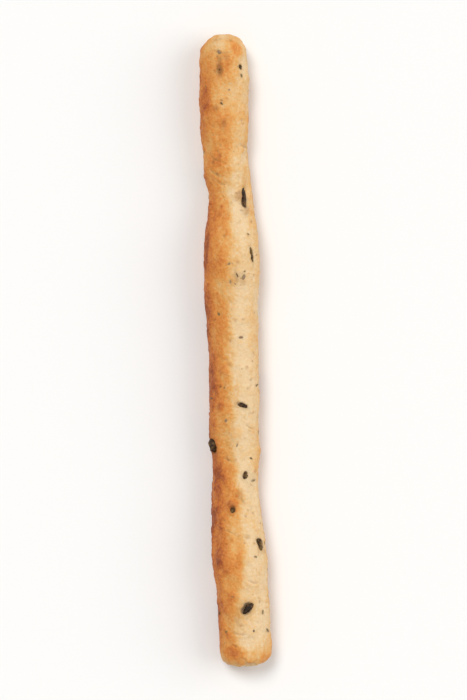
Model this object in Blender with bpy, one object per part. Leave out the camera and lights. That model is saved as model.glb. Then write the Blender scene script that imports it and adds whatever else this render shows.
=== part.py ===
"""A grissini breadstick: one hand-rolled stick of olive dough, baked as it lay on a tray.

The stick lies along Y with its head, the rounder end, at +Y. Its underside is flat where the soft
dough lay on the tray. The origin is on that face, under the middle of the stick, and +Z is up.
All sizes are in metres.
"""

import math

import bmesh
import bpy
from mathutils import Vector, noise

MM = 0.001

# Driving dimensions of the stick.
LENGTH = 150 * MM
RADIUS = 6.1 * MM  # of the plain stick, between its swellings
SLUMP = 0.75 * MM  # how far the round section is pressed into the tray
TRAY_EDGE = 0.4 * MM  # half the height over which the side turns into the flat underside
SETTLE = 0.96  # height of the round section as a share of its width

# Where rolling left the dough thicker or thinner: (distance behind the head's tip, change of
# radius, spread along the stick).
SWELLINGS = (
    (12 * MM, -0.25 * MM, 12 * MM),  # the head
    (31.5 * MM, 0.4 * MM, 3 * MM),  # a small knob in the waist
    (34 * MM, -1.15 * MM, 11 * MM),  # the waist
    (54 * MM, 0.6 * MM, 9 * MM),  # the belly
    (104 * MM, -0.55 * MM, 12 * MM),  # a shallow second waist
    (124 * MM, 0.35 * MM, 10 * MM),  # the last swelling before the tail
)

# Where the stick strays sideways from a straight line: (distance behind the head's tip, offset
# along X, spread along the stick).
BENDS = (
    (24 * MM, -0.45 * MM, 9 * MM),
    (42 * MM, 0.5 * MM, 7 * MM),
    (108 * MM, -0.6 * MM, 18 * MM),
    (140 * MM, 0.5 * MM, 14 * MM),
)

# The rounded ends: their depth along the stick, and how square they are (2 is an ellipse).
HEAD_DEPTH, HEAD_SQUARENESS = 7.5 * MM, 2.15
TAIL_DEPTH, TAIL_SQUARENESS = 4.2 * MM, 2.7

# Uneven dough: the size of a lump and how far it stands out, as a share of the radius.
LUMP_SIZE, LUMP_HEIGHT = 8 * MM, 0.075
RIPPLE_SIZE, RIPPLE_HEIGHT = 3.6 * MM, 0.028

# The mesh: points round the stick, rings along it, and the rings that each end takes.
SEGMENTS, RINGS, END_RINGS = 36, 84, 9

CRUST_COLOUR = (0.71, 0.39, 0.15, 1.0)  # linear RGB of golden crust


def bumps_at(distance, bumps):
    """The sum of smooth bumps, each (place, height, spread), at a distance behind the head's tip."""
    return sum(
        height * math.exp(-(((distance - place) / spread) ** 2))
        for place, height, spread in bumps
    )


def end_curve(share, depth, squareness):
    """(distance from the tip, share of the full radius) at a share of the way round a rounded end."""
    angle = share * math.pi / 2
    power = 2 / squareness
    return depth * (1 - math.cos(angle) ** power), math.sin(angle) ** power


def along(ring):
    """(distance behind the head's tip, share of the full radius) at a ring, counted from the head."""
    if ring < END_RINGS:
        return end_curve(ring / END_RINGS, HEAD_DEPTH, HEAD_SQUARENESS)
    if ring > RINGS - END_RINGS:
        back, share = end_curve((RINGS - ring) / END_RINGS, TAIL_DEPTH, TAIL_SQUARENESS)
        return LENGTH - back, share
    way = (ring - END_RINGS) / (RINGS - 2 * END_RINGS)
    return HEAD_DEPTH + way * (LENGTH - HEAD_DEPTH - TAIL_DEPTH), 1.0


def pressed_on_tray(height):
    """A height over the tray, where what would lie lower is pressed flat, with a soft edge."""
    if height <= -TRAY_EDGE:
        return 0.0
    if height >= TRAY_EDGE:
        return height
    return (height + TRAY_EDGE) ** 2 / (4 * TRAY_EDGE)


def lumps_at(place):
    """How far uneven dough stands out at a place, as a share of the radius."""
    lump = LUMP_HEIGHT * noise.noise(place / LUMP_SIZE)
    ripple = RIPPLE_HEIGHT * noise.noise(place / RIPPLE_SIZE)
    return lump + ripple


def stick_point(ring, side, up):
    """The stick's surface at a ring, counted from the head, in the direction (side, up) round it."""
    distance, share = along(ring)
    radius = RADIUS + bumps_at(distance, SWELLINGS)
    lumps = lumps_at(Vector((side * radius, -distance, up * radius)))
    reach = radius * share * (1 + lumps)
    axis_height = SETTLE * radius - SLUMP
    return Vector((
        bumps_at(distance, BENDS) + side * reach,
        LENGTH / 2 - distance,
        pressed_on_tray(axis_height + SETTLE * up * reach),
    ))


def shape_stick(bm):
    """Draws a sphere out into the stick: its poles become the tips, and its parallels the rings."""
    for vertex in bm.verts:
        x, y, z = vertex.co
        from_pole = math.atan2(math.hypot(x, y), z)
        around = math.atan2(-y, x)
        vertex.co = stick_point(RINGS * from_pole / math.pi, math.cos(around), math.sin(around))


def centre_on_tray(bm):
    """Moves the stick so that the origin lies under the middle of its box, on the tray's face."""
    lowest = Vector([min(v.co[k] for v in bm.verts) for k in range(3)])
    highest = Vector([max(v.co[k] for v in bm.verts) for k in range(3)])
    middle = (lowest + highest) / 2
    bmesh.ops.translate(bm, verts=bm.verts, vec=(-middle.x, -middle.y, -lowest.z))


def crust_material():
    material = bpy.data.materials.new("golden_crust")
    material.use_nodes = True
    shader = material.node_tree.nodes["Principled BSDF"]
    shader.inputs["Base Color"].default_value = CRUST_COLOUR
    shader.inputs["Roughness"].default_value = 0.6
    shader.inputs["Metallic"].default_value = 0.0
    return material


def make_breadstick(collection):
    bm = bmesh.new()
    bmesh.ops.create_uvsphere(bm, u_segments=SEGMENTS, v_segments=RINGS, radius=1.0)
    shape_stick(bm)
    centre_on_tray(bm)
    mesh = bpy.data.meshes.new("breadstick")
    bm.to_mesh(mesh)
    bm.free()
    mesh.shade_smooth()
    mesh.materials.append(crust_material())
    stick = bpy.data.objects.new("breadstick", mesh)
    collection.objects.link(stick)
    return stick


def main():
    for old in list(bpy.data.objects):
        bpy.data.objects.remove(old, do_unlink=True)
    collection = bpy.data.collections.new("grissini_breadstick")
    bpy.context.scene.collection.children.link(collection)
    make_breadstick(collection)


main()
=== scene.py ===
"""Looks of the grissini breadstick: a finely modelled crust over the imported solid, with the bits of
black olive and the flecks of herb that are baked into it, lying on a plain pale floor.

A spot on the stick is given by its distance behind the head's tip and its angle round the stick:
0 degrees is the right side, +X, and 90 degrees is the top, +Z, which the camera looks down on.
Lengths are in millimetres in the tables of this script, and in metres in the scene.
"""

import math
import random

import bmesh
import bpy
import numpy as np
from mathutils import Matrix, Vector, noise
from mathutils.bvhtree import BVHTree


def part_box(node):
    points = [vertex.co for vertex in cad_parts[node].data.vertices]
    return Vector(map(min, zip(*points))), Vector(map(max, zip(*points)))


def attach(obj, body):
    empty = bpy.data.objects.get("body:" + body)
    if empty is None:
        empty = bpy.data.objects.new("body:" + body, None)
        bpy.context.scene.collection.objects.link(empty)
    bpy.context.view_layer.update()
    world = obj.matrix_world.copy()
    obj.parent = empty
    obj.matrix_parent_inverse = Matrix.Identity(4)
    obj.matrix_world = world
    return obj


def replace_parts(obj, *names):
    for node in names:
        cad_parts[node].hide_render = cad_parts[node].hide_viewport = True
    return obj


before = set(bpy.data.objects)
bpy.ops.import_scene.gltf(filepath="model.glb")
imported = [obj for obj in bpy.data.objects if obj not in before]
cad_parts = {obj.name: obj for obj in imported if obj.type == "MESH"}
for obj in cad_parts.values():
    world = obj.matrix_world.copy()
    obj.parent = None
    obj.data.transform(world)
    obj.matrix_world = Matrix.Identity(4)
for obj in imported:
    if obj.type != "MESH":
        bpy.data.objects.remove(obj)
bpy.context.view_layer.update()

MM = 0.001
STICK_LOW, STICK_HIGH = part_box("breadstick")
HEAD_Y = STICK_HIGH.y / MM  # the head's tip
TAIL_Y = STICK_LOW.y / MM
LENGTH = HEAD_Y - TAIL_Y
AXIS_Z = (STICK_HIGH.z + STICK_LOW.z) / 2 / MM
END = 6.0  # distance from a tip to the point from which that end's rays fan out

# The crust's mesh: its rings along the stick and the points round each.
RINGS, SEGMENTS = 590, 148

# How many of each are scattered at random, besides the bits and flecks listed below.
SMALL_BLISTERS, LARGE_BLISTERS, PITS = 320, 45, 220
MORE_BITS, MORE_FLECKS = 18, 70
FLECK_THICKNESS = 0.22

PICTURE_SHARE = 0.9  # how much of the picture's height the stick takes
LEAN = 1.9  # degrees by which the stick leans in the picture, with its tail to the right

# Browning round the stick: (angle, how far baked at the head, how far baked behind it). 0 is pale
# dough and 1 is dark brown. The side that faced the oven's heat lies at 120 to 200 degrees.
BROWNING = (
    (-90, 0.56, 0.56),
    (-60, 0.48, 0.48),
    (-25, 0.36, 0.34),
    (5, 0.28, 0.18),
    (32, 0.29, 0.08),
    (55, 0.38, 0.06),
    (72, 0.44, 0.13),
    (82, 0.50, 0.26),
    (90, 0.53, 0.42),
    (98, 0.53, 0.52),
    (107, 0.53, 0.58),
    (125, 0.54, 0.64),
    (150, 0.64, 0.84),
    (175, 0.78, 0.92),
    (205, 0.76, 0.86),
    (240, 0.62, 0.64),
    (270, 0.56, 0.56),
)
HEAD_BAKED = (33, 45)  # from where to where behind the tip the head's browning gives way
WAIST = 32  # how far the waist lies behind the tip
GOLDEN = 0.32  # how far baked the waist and the head's tip are, where the browning is more even

# The crust's colour by how far it is baked.
TONES = (
    (0.0, (231, 200, 155)),
    (0.22, (227, 185, 127)),
    (0.42, (224, 166, 92)),
    (0.58, (220, 144, 65)),
    (0.74, (207, 122, 49)),
    (0.88, (182, 96, 37)),
    (1.0, (148, 71, 29)),
)

# Patches that baked browner, or paler: (distance behind the tip, angle, length, width, change).
PATCHES = (
    (3.6, 45, 4.5, 4.5, 0.28),
    (2.0, 100, 3.0, 8.0, -0.12),
    (17.0, 150, 9.0, 5.0, 0.18),
    (28.5, 127, 10.0, 7.0, 0.12),
    (38.0, 54, 22.0, 7.0, -0.22),
    (51.0, 158, 10.0, 2.4, 0.22),
    (108.0, 150, 14.0, 5.0, 0.22),
    (128.0, 95, 9.0, 6.0, 0.18),
    (146.0, 120, 4.0, 7.0, 0.15),
)

# Creases in the skin: (distance behind the tip, angle, length, turn, depth, how far it bows).
CREASES = (
    (3.2, 98, 7.0, 84, 0.22, 0.9),
    (29.2, 142, 4.0, 60, 0.26, 0.5),
    (30.8, 126, 4.5, 72, 0.24, -0.5),
    (33.0, 138, 4.6, 52, 0.28, 0.5),
    (35.4, 118, 3.2, 70, 0.20, 0.3),
    (26.8, 12, 4.0, 80, 0.45, 0.3),
    (71.0, 168, 5.0, 60, 0.24, 0.4),
    (93.0, 40, 4.0, 70, 0.26, 0.5),
    (101.0, 128, 3.4, 74, 0.24, -0.3),
    (118.0, 120, 4.5, 66, 0.24, -0.4),
    (129.5, 58, 3.8, 75, 0.24, 0.3),
    (141.5, 100, 5.0, 82, 0.26, 0.4),
)

# Olive bits: (distance behind the tip, angle, length, width, height, turn of the long side, sink).
OLIVE_BITS = (
    (8.9, 105, 0.6, 0.4, 0.5, 4, 0.84),
    (8.4, 34, 1.1, 0.8, 0.8, 40, 0.70),
    (39.2, 31, 4.9, 1.4, 1.3, -4, 0.58),
    (52.6, 38, 3.4, 0.8, 0.9, 14, 0.60),
    (104.5, 62, 1.7, 1.2, 1.1, -30, 0.60),
    (88.0, 70, 2.2, 1.1, 1.1, 65, 0.62),
    (97.5, 172, 3.8, 2.6, 2.2, 20, 0.62),
    (112.5, 108, 1.6, 1.1, 1.0, -10, 0.60),
    (121.0, 30, 2.6, 1.7, 1.6, 35, 0.50),
    (136.0, 78, 3.4, 2.0, 1.8, -35, 0.58),
)

# Flecks that show on top: (distance behind the tip, angle, length, width, turn).
FLECKS = (
    (6.2, 82, 0.9, 0.3, 30),
    (21.4, 96, 0.6, 0.4, 20),
    (42.8, 33, 0.8, 0.3, -30),
    (54.7, 86, 0.6, 0.3, 20),
    (56.6, 58, 0.7, 0.3, -50),
    (57.4, 76, 1.3, 0.4, 15),
    (58.0, 61, 1.6, 0.9, -30),
    (58.9, 92, 0.8, 0.4, 10),
    (65.5, 92, 0.5, 0.3, 0),
    (68.0, 80, 0.7, 0.3, -30),
)

# Smears of olive juice: (distance behind the tip, angle, length, width, turn, how dark).
SMEARS = (
    (6.1, 82, 2.0, 1.6, 0, 0.25),
    (6.9, 103, 2.8, 1.3, 8, 0.5),
    (8.8, 105, 3.0, 1.9, 0, 0.75),
    (17.9, 119, 1.4, 1.4, 0, 0.35),
    (21.4, 96, 1.7, 1.4, 0, 0.40),
    (42.6, 33, 2.6, 1.4, -20, 0.30),
    (58.0, 71, 3.0, 3.4, 0, 0.25),
    (57.8, 77, 3.2, 1.2, 8, 0.45),
    (58.9, 92, 1.6, 1.2, 0, 0.35),
)


def rise(values, start, end):
    """0 before start, 1 past end, and a smooth rise between them."""
    share = np.clip((values - start) / (end - start), 0.0, 1.0)
    return share * share * (3 - 2 * share)


def perlin(points, size, seed):
    """Smooth noise, about -0.7 to 0.7, whose lumps measure size: one number, or one for each axis."""
    spots = points / np.asarray(size) + seed * 31.7  # each seed reads the noise at another place
    return np.array([noise.noise(spot) for spot in spots.tolist()])


def crests(points, size, seed):
    """Noise from 0 to 1 with narrow crests, for wrinkles and cracks."""
    return 1 - np.clip(np.abs(perlin(points, size, seed)) * 4, 0.0, 1.0)


def finished_mesh(bm, name):
    """The bmesh as a smoothly shaded mesh; the bmesh is freed."""
    mesh = bpy.data.meshes.new(name)
    bm.to_mesh(mesh)
    bm.free()
    mesh.shade_smooth()
    return mesh


def add_piece(name, mesh, material):
    """Puts a piece of the stick into the scene, riding on its one body."""
    piece = bpy.data.objects.new(name, mesh)
    bpy.context.scene.collection.objects.link(piece)
    mesh.materials.append(material)
    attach(piece, "root")
    return piece


# The crust's surface


def smoothed_solid():
    """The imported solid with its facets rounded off, as a tree to cast rays on."""
    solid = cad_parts["breadstick"]
    bm = bmesh.new()
    bm.from_mesh(solid.data)
    bmesh.ops.remove_doubles(bm, verts=bm.verts, dist=0.001 * MM)
    mesh = bpy.data.meshes.new("smoothed")
    bm.to_mesh(mesh)
    bm.free()
    smooth = bpy.data.objects.new("smoothed", mesh)
    bpy.context.scene.collection.objects.link(smooth)
    rounding = smooth.modifiers.new("rounding", "SUBSURF")
    rounding.levels = 2
    tree = BVHTree.FromObject(smooth, bpy.context.evaluated_depsgraph_get())
    bpy.data.objects.remove(smooth)
    return tree


SOLID = smoothed_solid()


def cast(y, direction):
    """Where a ray from the stick's axis at y leaves the solid, and the solid's normal there."""
    start = Vector((0.0, y, AXIS_Z)) * MM
    place, normal, _, _ = SOLID.ray_cast(start, direction)
    return place / MM, normal


def outward(tilt, angle):
    """The direction that is tilted from +Y, where the head points, at an angle round the stick."""
    side = math.sin(tilt)
    return Vector((side * math.cos(angle), math.cos(tilt), side * math.sin(angle)))


def crust_ray(share, angle):
    """(y, direction) of the ray at a share of the way over the stick from tip to tip, at an angle."""
    quarter = END * math.pi / 2
    straight = LENGTH - 2 * END
    way = share * (straight + 2 * quarter)
    if way < quarter:
        y, tilt = HEAD_Y - END, way / END
    elif way > quarter + straight:
        y, tilt = TAIL_Y + END, math.pi / 2 + (way - quarter - straight) / END
    else:
        y, tilt = HEAD_Y - END - (way - quarter), math.pi / 2
    return y, outward(tilt, angle)


def spot(behind, degrees, turn=0.0):
    """A frame on the crust: x runs along the stick, then turned, y across it and z out of the crust."""
    if behind < END:
        y, tilt = HEAD_Y - END, math.acos(1 - behind / END)
    elif behind > LENGTH - END:
        y, tilt = TAIL_Y + END, math.pi - math.acos(1 - (LENGTH - behind) / END)
    else:
        y, tilt = HEAD_Y - behind, math.pi / 2
    place, normal = cast(y, outward(tilt, math.radians(degrees)))
    along = (Vector((0, 1, 0)) - normal * normal.y).normalized()
    axes = Matrix((along, normal.cross(along), normal)).transposed().to_4x4()
    return Matrix.Translation(place) @ axes @ Matrix.Rotation(math.radians(turn), 4, "Z")


def anywhere(rng):
    """A spot at random, with a turn at random."""
    return spot(rng.uniform(1, LENGTH - 1), rng.uniform(-180, 180), rng.uniform(0, 180))


class Crust:
    """The crust's points, in millimetres, and what is worked out for each of them.

    tray is 1 where a point lies on the flat underside, height is how far the crust is to stand out
    there, stain is how dark olive juice makes it, and char is how far it is scorched, with painted
    shade added in the creases, the burst bubbles and the tail's dimple.
    """

    def __init__(self):
        self.bm = bmesh.new()
        bmesh.ops.create_uvsphere(self.bm, u_segments=SEGMENTS, v_segments=RINGS, radius=1.0)
        for vertex in self.bm.verts:
            x, y, z = vertex.co
            share = math.atan2(math.hypot(x, y), z) / math.pi
            vertex.co = cast(*crust_ray(share, math.atan2(-y, x)))[0]
        self.bm.normal_update()
        self.points = np.array([v.co for v in self.bm.verts])
        self.normals = np.array([v.normal for v in self.bm.verts])
        self.behind = HEAD_Y - self.points[:, 1]
        self.around = np.degrees(np.arctan2(self.points[:, 2] - AXIS_Z, self.points[:, 0]))
        self.tray = rise(0.5 - self.points[:, 2], 0.0, 0.5) * rise(-self.normals[:, 2], 0.5, 0.9)
        self.height = np.zeros(len(self.points))
        self.stain = np.zeros(len(self.points))
        self.char = np.zeros(len(self.points))

    def near(self, place, reach):
        """(which points lie within reach of a spot on its own side, their places in its frame)."""
        middle = np.array(place.translation)
        turned = np.array(place.to_3x3())
        chosen = np.flatnonzero(np.abs(self.points[:, 1] - middle[1]) < reach)
        local = (self.points[chosen] - middle) @ turned
        facing = self.normals[chosen] @ turned[:, 2] > 0.2
        kept = facing & (np.hypot(local[:, 0], local[:, 1]) < reach)
        return chosen[kept], local[kept]

    def oval(self, place, length, width, reach=1.0):
        """(which points lie in an oval round a spot, how far out: 1 is the edge of the oval itself)."""
        chosen, local = self.near(place, reach * max(length, width) / 2)
        away = np.hypot(local[:, 0] * 2 / length, local[:, 1] * 2 / width)
        return chosen[away < reach], away[away < reach]


def knead(crust):
    """The dough's own unevenness: lumps, dents, cracks and the wrinkles that rolling by hand leaves."""
    points = crust.points
    crust.height += 0.30 * perlin(points, (7, 9, 7), 1)
    crust.height += 0.16 * perlin(points, (3.4, 4.2, 3.4), 2)
    crust.height += 0.13 * perlin(points, 1.7, 3)
    crust.height += 0.08 * perlin(points, 0.85, 4)
    dents = rise(perlin(points, (5, 6.5, 5), 5), 0.18, 0.5)
    crust.height -= 0.35 * dents
    crust.height += 0.04 * perlin(points, 0.5, 10)
    # Fine cracks, then wrinkles across the stick, then wrinkles along it: each kind in patches.
    cracked = rise(perlin(points, (6, 7, 6), 20), 0.0, 0.25)
    crust.height -= 0.12 * cracked * crests(points, (2.6, 1.8, 2.6), 21) ** 4
    ringed = rise(perlin(points, (9, 11, 9), 6), -0.05, 0.3)
    crust.height -= 0.10 * ringed * crests(points, (5, 1.3, 5), 7) ** 2
    rolled = rise(perlin(points, (8, 14, 8), 8), 0.0, 0.3)
    crust.height -= 0.09 * rolled * crests(points, (1.7, 9, 1.7), 9) ** 2


def blister(crust, rng, size):
    """A bubble under the skin, which stands out and browns first."""
    chosen, away = crust.oval(anywhere(rng), size * rng.uniform(1.0, 1.5), size)
    dome = (1 - away**2) ** 1.5
    crust.height[chosen] += dome * size * rng.uniform(0.08, 0.16)
    crust.char[chosen] += dome * rng.uniform(0.0, 0.25)


def pit(crust, rng, size):
    """A burst bubble: a small hole with a steep wall and a thin rim, darkened inside with painted shade.
    """
    chosen, away = crust.oval(anywhere(rng), size * rng.uniform(1.0, 1.8), size, 1.6)
    crust.height[chosen] -= (1 - rise(away, 0.45, 1.0)) * size * 0.3
    crust.height[chosen] += 0.04 * np.exp(-(((away - 1.15) / 0.2) ** 2))
    # painted shade: the middle of the hole is darkened in colour
    crust.char[chosen] += (1 - rise(away, 0.3, 1.0)) * rng.uniform(0.0, 0.35)


def crease(crust, behind, degrees, length, turn, depth, bow):
    """A fold in the skin: a narrow groove, bowed sideways, with a soft lip on one side and painted shade
    in the groove.
    """
    chosen, local = crust.near(spot(behind, degrees, turn), length / 2 + 1)
    along = local[:, 0] * 2 / length
    off = local[:, 1] - bow * (1 - along**2) - 0.25 * perlin(crust.points[chosen], 1.2, 11)
    strength = np.clip(1 - along**2, 0.0, 1.0)
    groove = strength * np.exp(-((off / 0.24) ** 2))
    crust.height[chosen] -= depth * groove
    crust.height[chosen] += 0.4 * depth * strength * np.exp(-(((off - 0.7) / 0.4) ** 2))
    # painted shade: the groove is darkened in colour where shade would fall
    crust.char[chosen] += 0.25 * groove


def seat(crust, place, length, width, depth):
    """The hollow that a bit of olive sits in, with a raised lip and a stain of its juice."""
    chosen, away = crust.oval(place, length, width, 3.0)
    away = away * (1 + 0.35 * perlin(crust.points[chosen], 1.3, 12))
    crust.height[chosen] -= depth * (1 - rise(away, 0.7, 1.15))
    crust.height[chosen] += 0.12 * np.exp(-(((away - 1.4) / 0.3) ** 2))
    halo = 0.7 * (1 - rise(away, 0.8, 1.3)) + 0.2 * (1 - rise(away, 1.1, 2.4))
    crust.stain[chosen] = np.maximum(crust.stain[chosen], halo)


def tint(crust, place, length, width, dark):
    """The faint stain round a fleck."""
    chosen, away = crust.oval(place, length, width, 2.0)
    halo = dark * (1 - rise(away, 0.8, 1.8))
    crust.stain[chosen] = np.maximum(crust.stain[chosen], halo)


def smear(crust, behind, degrees, length, width, turn, dark):
    """A soft stain in the crust, where olive lies just under it."""
    chosen, away = crust.oval(spot(behind, degrees, turn), length, width, 1.8)
    away = away * (1 + 0.5 * perlin(crust.points[chosen], 1.0, 25))
    crust.stain[chosen] = np.maximum(crust.stain[chosen], dark * (1 - rise(away, 0.4, 1.4)))


def pucker(crust, degrees, depth, folds):
    """The tail's end, where the dough was pinched off: a dimple with small folds running into it, and
    painted shade in its middle.
    """
    chosen, local = crust.near(spot(LENGTH - 0.6, degrees), 5.0)
    away = np.hypot(local[:, 0], local[:, 1])
    turn = np.arctan2(local[:, 1], local[:, 0]) + 1.2 * perlin(crust.points[chosen], 2.0, 24)
    crust.height[chosen] -= depth * np.exp(-((away / 1.3) ** 2))
    crust.height[chosen] += 0.3 * depth * np.cos(folds * turn) * np.exp(-(((away - 2.0) / 1.1) ** 2))
    # painted shade: the middle of the dimple is darkened in colour
    crust.char[chosen] += 0.3 * np.exp(-((away / 0.8) ** 2))


def side_to_heat(crust):
    """The angle at which each point reads BROWNING: its own, shifted as the browned side wanders."""
    points = crust.points
    drift = 12 * perlin(points, (30, 24, 30), 13) + 8 * perlin(points, (6, 9, 6), 14)
    drift += 4 * perlin(points, (1.6, 2.4, 1.6), 15)
    # Behind the belly the browned side lies further down the left, and from there it wanders more.
    drift -= 15 * rise(crust.behind, 63, 71)
    drift += 50 * rise(crust.behind, 78, 95) * perlin(points, (40, 20, 40), 39)
    return (crust.around + drift + 90) % 360 - 90


def even_out(crust, baked):
    """Brings the waist and the head's tip towards golden, and the tail's end towards its own tone."""
    waist = np.exp(-(((crust.behind - WAIST) / 8) ** 2))
    tip = 1 - rise(crust.behind, 2, 11)
    baked += (0.5 * waist + 0.7 * tip) * (GOLDEN - baked)
    tail = rise(crust.behind, LENGTH - 6, LENGTH - 1)
    rim = 0.54 - 0.2 * rise(crust.behind, LENGTH - 2.5, LENGTH - 0.3)
    baked += 0.9 * tail * (rim + 0.25 * perlin(crust.points, 4, 23) - baked)


def bake(crust):
    """How far each point is baked: by its side of the stick, in patches, and more where it stands out."""
    points = crust.points
    angles, at_head, behind_it = np.array(BROWNING).T
    side = side_to_heat(crust)
    body = rise(crust.behind, *HEAD_BAKED)
    baked = np.interp(side, angles, at_head) * (1 - body)
    baked += np.interp(side, angles, behind_it) * body
    even_out(crust, baked)
    # Blotches from large to small, then more where the crust stands out, and what the tray browned.
    baked += 0.17 * perlin(points, (4, 9, 4), 16) + 0.12 * perlin(points, (1.7, 2.8, 1.7), 17)
    baked += 0.10 * perlin(points, 0.7, 18)
    baked += 0.45 * np.clip(crust.height, -0.3, 0.3)
    baked += crust.tray * (0.12 + 0.3 * perlin(points, 3.0, 19))
    for behind, degrees, length, width, change in PATCHES:
        chosen, away = crust.oval(spot(behind, degrees), length, width)
        away = np.clip(away + 0.4 * perlin(points[chosen], 2.5, 22), 0.0, 1.0)
        baked[chosen] += change * (1 - away**2)
    return np.clip(baked, 0.0, 1.0)


def bubble(crust, rng):
    """Blisters and burst bubbles, scattered all over."""
    for _ in range(SMALL_BLISTERS):
        blister(crust, rng, rng.uniform(0.6, 1.5))
    for _ in range(LARGE_BLISTERS):
        blister(crust, rng, rng.uniform(1.6, 3.4))
    for _ in range(PITS):
        pit(crust, rng, rng.uniform(0.4, 1.0))


def write_attribute(mesh, name, values):
    """Gives each point of the mesh a number from 0 to 1, which the crust's material reads by name."""
    layer = mesh.attributes.new(name, "FLOAT", "POINT")
    layer.data.foreach_set("value", np.clip(values, 0.0, 1.0).astype(np.float32))


def crust_mesh(crust):
    """The crust as a mesh, moved out by its heights but never below z = 0, with what colours it."""
    points = crust.points + crust.normals * crust.height[:, None]
    points[:, 2] = np.maximum(points[:, 2], 0.0)
    for vertex, point in zip(crust.bm.verts, points):
        vertex.co = Vector(point) * MM
    mesh = finished_mesh(crust.bm, "breadstick_crust")
    write_attribute(mesh, "baked", bake(crust))
    write_attribute(mesh, "stain", crust.stain)
    write_attribute(mesh, "char", crust.char)
    return mesh


def make_crust(bit_places, fleck_places):
    rng = random.Random(4)
    crust = Crust()
    knead(crust)
    bubble(crust, rng)
    for fold in CREASES:
        crease(crust, *fold)
    for stain in SMEARS:
        smear(crust, *stain)
    pucker(crust, degrees=60, depth=0.5, folds=5)
    for place, length, width, height in bit_places:
        seat(crust, place, length, width, depth=0.32 * height)
    for place, length, width in fleck_places:
        tint(crust, place, length, width, dark=rng.uniform(0.15, 0.4))
    return add_piece("breadstick_crust", crust_mesh(crust), crust_material())


# Olive bits and flecks


def torn_faces(rng):
    """Six flat cuts at random as (the way each faces, its distance from a unit ball's middle)."""
    cuts = []
    for _ in range(6):
        normal = Vector((rng.gauss(0, 1), rng.gauss(0, 1), rng.gauss(0, 1))).normalized()
        cuts.append((normal, rng.uniform(0.66, 0.95)))
    return cuts


def add_chunk(bm, place, size, seed, detail, floor=0.02):
    """A torn chunk: a ball cut by flat faces, wrinkled, drawn out to size and pressed flat at a floor."""
    cuts = torn_faces(random.Random(seed))
    made = bmesh.ops.create_icosphere(bm, subdivisions=detail, radius=1.0)
    shift = Vector((seed * 3.1, seed * 1.7, 0))
    for vertex in made["verts"]:
        way = vertex.co.normalized()
        reach = 1.0
        for normal, near in cuts:
            facing = way.dot(normal)
            if facing > 0.05:
                reach = min(reach, near / facing)
        reach *= 1 + 0.30 * noise.noise(way * 1.6 + shift) + 0.20 * noise.noise(way * 4 + shift)
        reach *= 1 - 0.22 * abs(noise.noise(way * 3 - shift))
        local = Vector((way[k] * reach * size[k] / 2 for k in range(3)))
        vertex.co = place @ local
        vertex.co.z = max(vertex.co.z, floor)
        vertex.co *= MM


def place_bits():
    """Every olive bit as (frame on the crust, length, width, height).

    The listed ones come first, and the rest lie on the underside, at 215 to 325 degrees.
    """
    rng = random.Random(11)
    rows = list(OLIVE_BITS)
    for _ in range(MORE_BITS):
        size = rng.uniform(1.0, 2.8)
        rows.append((
            rng.uniform(5, LENGTH - 5),
            rng.uniform(215, 325),
            size * rng.uniform(1.0, 1.6),
            size * rng.uniform(0.6, 0.9),
            size * rng.uniform(0.6, 0.8),
            rng.uniform(0, 180),
            rng.uniform(0.5, 0.7),
        ))
    places = []
    for behind, degrees, length, width, height, turn, sink in rows:
        place = spot(behind, degrees, turn) @ Matrix.Translation((0, 0, height * (0.5 - sink)))
        places.append((place, length, width, height))
    return places


def make_bits(bit_places):
    """Makes each bit of three chunks that overlap.

    Where they reach the floor they are pressed flat at three heights, so that no faces coincide.
    """
    bm = bmesh.new()
    for seed, (place, length, width, height) in enumerate(bit_places):
        rng = random.Random(seed)
        for lobe in range(3):
            off = Vector((rng.uniform(-0.3, 0.3) * length, rng.uniform(-0.3, 0.3) * width, 0))
            turned = Matrix.Rotation(rng.uniform(-0.6, 0.6) * width / length, 4, "Z")
            size = [side * rng.uniform(0.55, 0.8) for side in (length, width, height)]
            lobe_place = place @ Matrix.Translation(off) @ turned
            lobe_seed = 10 * seed + lobe + 1
            add_chunk(bm, lobe_place, size, lobe_seed, detail=4, floor=0.02 + 0.03 * lobe)
    add_piece("olive_bits", finished_mesh(bm, "olive_bits"), olive_material())


def place_flecks():
    """Every fleck as (frame on the crust, length, width)."""
    rng = random.Random(23)
    rows = list(FLECKS)
    for _ in range(MORE_FLECKS):
        size = rng.uniform(0.3, 0.8)
        rows.append((
            rng.uniform(1, LENGTH - 1),
            rng.uniform(-180, 180),
            size * rng.uniform(1.0, 2.2),
            size * rng.uniform(0.5, 1.0),
            rng.uniform(0, 180),
        ))
    places = []
    for behind, degrees, length, width, turn in rows:
        places.append((spot(behind, degrees, turn), length, width))
    return places


def make_flecks(fleck_places):
    bm = bmesh.new()
    for seed, (place, length, width) in enumerate(fleck_places):
        add_chunk(bm, place, (length, width, FLECK_THICKNESS), seed + 100, detail=3)
    add_piece("herb_flecks", finished_mesh(bm, "herb_flecks"), fleck_material())


# Materials


def colour(red, green, blue):
    """A colour as the screen shows it, 0 to 255, as the linear colour that a shader takes."""
    shares = (channel / 255 for channel in (red, green, blue))
    return (*(s / 12.92 if s <= 0.04045 else ((s + 0.055) / 1.055) ** 2.4 for s in shares), 1.0)


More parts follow.
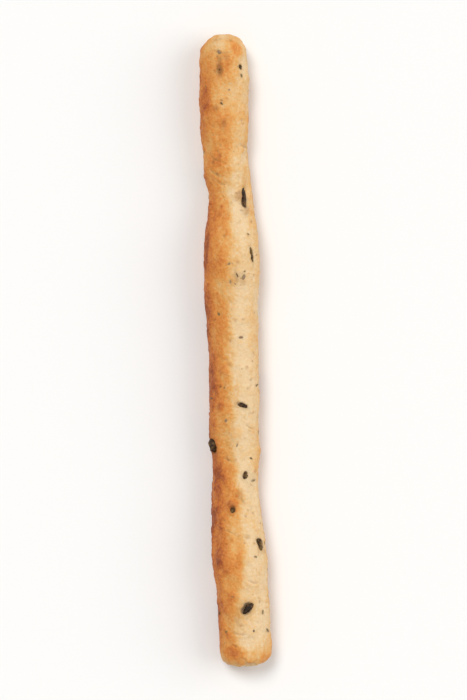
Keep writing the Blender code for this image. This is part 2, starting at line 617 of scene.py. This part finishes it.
class Finish:
    """A material under construction, with short ways to add its nodes."""

    def __init__(self, name):
        self.material = bpy.data.materials.new(name)
        self.material.use_nodes = True
        self.tree = self.material.node_tree
        self.surface = self.tree.nodes["Principled BSDF"]
        self.place = self.tree.nodes.new("ShaderNodeTexCoord").outputs["Object"]

    def put(self, socket, value):
        """Links a node's output into a socket, or sets the socket to a plain value."""
        if isinstance(value, bpy.types.NodeSocket):
            self.tree.links.new(value, socket)
        else:
            socket.default_value = value

    def set(self, **inputs):
        """Sets the shader's own inputs, named with _ for each space."""
        for name, value in inputs.items():
            self.put(self.surface.inputs[name.replace("_", " ")], value)

    def noise(self, size, detail=2.0):
        """Noise from 0 to 1, whose lumps measure size in millimetres."""
        texture = self.tree.nodes.new("ShaderNodeTexNoise")
        self.put(texture.inputs["Vector"], self.place)
        texture.inputs["Scale"].default_value = 1 / (size * MM)
        texture.inputs["Detail"].default_value = detail
        return texture.outputs["Fac"]

    def cells(self, size):
        """The distance from the middle of each cell, for pores and grains that measure size."""
        texture = self.tree.nodes.new("ShaderNodeTexVoronoi")
        self.put(texture.inputs["Vector"], self.place)
        texture.inputs["Scale"].default_value = 1 / (size * MM)
        return texture.outputs["Distance"]

    def attribute(self, name):
        """What write_attribute gave each point."""
        node = self.tree.nodes.new("ShaderNodeAttribute")
        node.attribute_name = name
        return node.outputs["Fac"]

    def combine(self, operation, first, second):
        node = self.tree.nodes.new("ShaderNodeMath")
        node.operation = operation
        self.put(node.inputs[0], first)
        self.put(node.inputs[1], second)
        return node.outputs["Value"]

    def span(self, value, low, high, to_low=0.0, to_high=1.0):
        """A value from low to high carried over to another span, and held at its ends."""
        node = self.tree.nodes.new("ShaderNodeMapRange")
        for socket, number in zip(node.inputs[:5], (value, low, high, to_low, to_high)):
            self.put(socket, number)
        return node.outputs["Result"]

    def ramp(self, value, *stops):
        """A colour for a value, by (value, colour) stops."""
        node = self.tree.nodes.new("ShaderNodeValToRGB")
        self.put(node.inputs["Fac"], value)
        points = node.color_ramp.elements
        while len(points) < len(stops):
            points.new(0.5)
        for point, (place, shade) in zip(points, stops):
            point.position = place
            point.color = shade
        return node.outputs["Color"]

    def mix(self, share, first, second):
        node = self.tree.nodes.new("ShaderNodeMix")
        node.data_type = "RGBA"
        self.put(node.inputs["Factor"], share)
        self.put(node.inputs[6], first)
        self.put(node.inputs[7], second)
        return node.outputs[2]

    def relief(self, height, depth, under=None):
        """A bump of that depth in millimetres, over another if one is given."""
        node = self.tree.nodes.new("ShaderNodeBump")
        node.inputs["Distance"].default_value = depth * MM
        self.put(node.inputs["Height"], height)
        if under:
            self.put(node.inputs["Normal"], under)
        return node.outputs["Normal"]


def floury(finish, tone, baked):
    """Leaves a trace of flour on the tone, most where the crust is pale."""
    flour = finish.span(finish.noise(0.8, 4), 0.54, 0.68, 0.0, 0.35)
    left = finish.combine("MULTIPLY", flour, finish.span(baked, 0.1, 0.6, 1.0, 0.15))
    return finish.mix(left, tone, colour(240, 219, 187))


def specked(finish, tone):
    """Puts ragged brown specks on the tone, in patches."""
    torn = finish.span(finish.noise(0.35, 3), 0.3, 0.7, -0.07, 0.09)
    ragged = finish.combine("ADD", finish.cells(1.3), torn)
    patchy = finish.span(finish.noise(3.5, 2), 0.48, 0.62, 0.0, 0.55)
    specks = finish.combine("MULTIPLY", finish.span(ragged, 0.07, 0.13, 1.0, 0.0), patchy)
    return finish.mix(specks, tone, colour(140, 84, 42))


def crust_tone(finish):
    """The crust's colour: by how far it is baked, then flour, scorch with painted shade, stains, specks.
    """
    baked = finish.attribute("baked")
    baked = finish.combine("ADD", baked, finish.span(finish.noise(0.5, 3), 0.3, 0.7, -0.09, 0.09))
    baked = finish.combine("ADD", baked, finish.span(finish.noise(0.2, 2), 0.3, 0.7, -0.05, 0.05))
    tone = finish.ramp(baked, *((place, colour(*shade)) for place, shade in TONES))
    tone = floury(finish, tone, baked)
    # char darkens with real scorching, and with painted shade in creases, burst bubbles and the tail's
    # dimple
    tone = finish.mix(finish.span(finish.attribute("char"), 0.05, 0.6), tone, colour(139, 78, 38))
    stained = finish.span(finish.attribute("stain"), 0.0, 1.0, 0.0, 0.8)
    return specked(finish, finish.mix(stained, tone, colour(104, 66, 38)))


def crust_material():
    finish = Finish("golden_crust")
    finish.set(Base_Color=crust_tone(finish))
    finish.set(Roughness=finish.span(finish.noise(1.6, 3), 0.3, 0.7, 0.5, 0.74))
    finish.set(Specular_IOR_Level=0.35, Subsurface_Weight=0.1, Subsurface_Scale=MM)
    finish.surface.inputs["Subsurface Radius"].default_value = (1.0, 0.5, 0.25)
    coarse = finish.relief(finish.noise(0.6, 4), 0.25)
    fine = finish.relief(finish.noise(0.22, 3), 0.10, coarse)
    pores = finish.relief(finish.span(finish.cells(0.7), 0.0, 0.25), 0.06, fine)
    finish.set(Normal=pores)
    return finish.material


def olive_material():
    finish = Finish("baked_black_olive")
    flesh = finish.span(finish.noise(5, 1), 0.35, 0.65, -0.12, 0.14)
    tone = finish.ramp(
        finish.combine("ADD", finish.noise(0.8, 4), flesh),
        (0.30, colour(36, 22, 11)),
        (0.50, colour(66, 42, 20)),
        (0.68, colour(116, 88, 46)),
    )
    finish.set(Base_Color=tone, Specular_IOR_Level=0.3)
    finish.set(Roughness=finish.span(finish.noise(0.5, 3), 0.3, 0.7, 0.42, 0.66))
    wrinkles = finish.relief(finish.noise(0.35, 4), 0.12)
    finish.set(Normal=wrinkles)
    return finish.material


def fleck_material():
    finish = Finish("olive_and_herb_fleck")
    tone = finish.ramp(
        finish.noise(2.5, 1),
        (0.30, colour(100, 72, 42)),
        (0.45, colour(130, 112, 64)),
        (0.55, colour(154, 124, 96)),
        (0.70, colour(108, 76, 46)),
    )
    finish.set(Base_Color=tone, Roughness=finish.span(finish.noise(0.3, 2), 0.3, 0.7, 0.5, 0.75))
    finish.set(Normal=finish.relief(finish.noise(0.15, 3), 0.05))
    return finish.material


# Floor, light and camera


def make_floor():
    """A broad pale floor, a hair below the stick."""
    bm = bmesh.new()
    bmesh.ops.create_grid(bm, x_segments=1, y_segments=1, size=6.0)
    mesh = finished_mesh(bm, "floor")
    floor = bpy.data.objects.new("floor", mesh)
    floor.location.z = -0.03 * MM
    bpy.context.scene.collection.objects.link(floor)
    finish = Finish("pale_floor")
    finish.set(Base_Color=colour(244, 243, 241))
    finish.set(Roughness=finish.span(finish.noise(20, 2), 0.3, 0.7, 0.75, 0.85))
    mesh.materials.append(finish.material)


def add_sun(name, direction, spread, strength):
    """Light from a direction, as soft as a lamp that fills spread degrees of the view from the stick."""
    light = bpy.data.lights.new(name, "SUN")
    light.angle = math.radians(spread)
    light.energy = strength
    sun = bpy.data.objects.new(name, light)
    sun.rotation_euler = (-Vector(direction)).to_track_quat("-Z", "Y").to_euler()
    bpy.context.scene.collection.objects.link(sun)


def make_light():
    """Soft white light from all round, two broad lamps, and a near-white backdrop for the camera."""
    world = bpy.data.worlds.new("studio")
    world.use_nodes = True
    nodes, links = world.node_tree.nodes, world.node_tree.links
    sky = nodes["Background"]
    sky.inputs["Color"].default_value = (1.0, 1.0, 1.0, 1.0)
    sky.inputs["Strength"].default_value = 0.46
    backdrop = nodes.new("ShaderNodeBackground")
    backdrop.inputs["Color"].default_value = colour(250, 249, 247)
    shown = nodes.new("ShaderNodeMixShader")
    links.new(nodes.new("ShaderNodeLightPath").outputs["Is Camera Ray"], shown.inputs["Fac"])
    links.new(sky.outputs["Background"], shown.inputs[1])
    links.new(backdrop.outputs["Background"], shown.inputs[2])
    links.new(shown.outputs["Shader"], nodes["World Output"].inputs["Surface"])
    bpy.context.scene.world = world
    bpy.context.scene.view_settings.view_transform = "Standard"
    add_sun("key", (-0.22, 0.36, 0.85), spread=24, strength=1.5)
    add_sun("fill", (0.78, 0.1, 0.58), spread=50, strength=1.1)


def make_camera():
    """Looks straight down on the shown side, with the head at the top of the picture."""
    camera = bpy.data.objects.new("camera", bpy.data.cameras.new("camera"))
    bpy.context.scene.collection.objects.link(camera)
    camera.data.lens = 200.0
    camera.data.sensor_width = 36.0
    picture_height = LENGTH * MM / PICTURE_SHARE
    middle = (STICK_LOW + STICK_HIGH) / 2
    distance = picture_height * camera.data.lens / camera.data.sensor_width
    camera.location = (middle.x, middle.y, distance)
    camera.rotation_euler = (0, 0, math.radians(-LEAN))
    camera.data.clip_end = 20.0
    bpy.context.scene.camera = camera


make_camera()
make_light()
make_floor()
bits = place_bits()
flecks = place_flecks()
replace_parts(make_crust(bits, flecks), "breadstick")
make_bits(bits)
make_flecks(flecks)
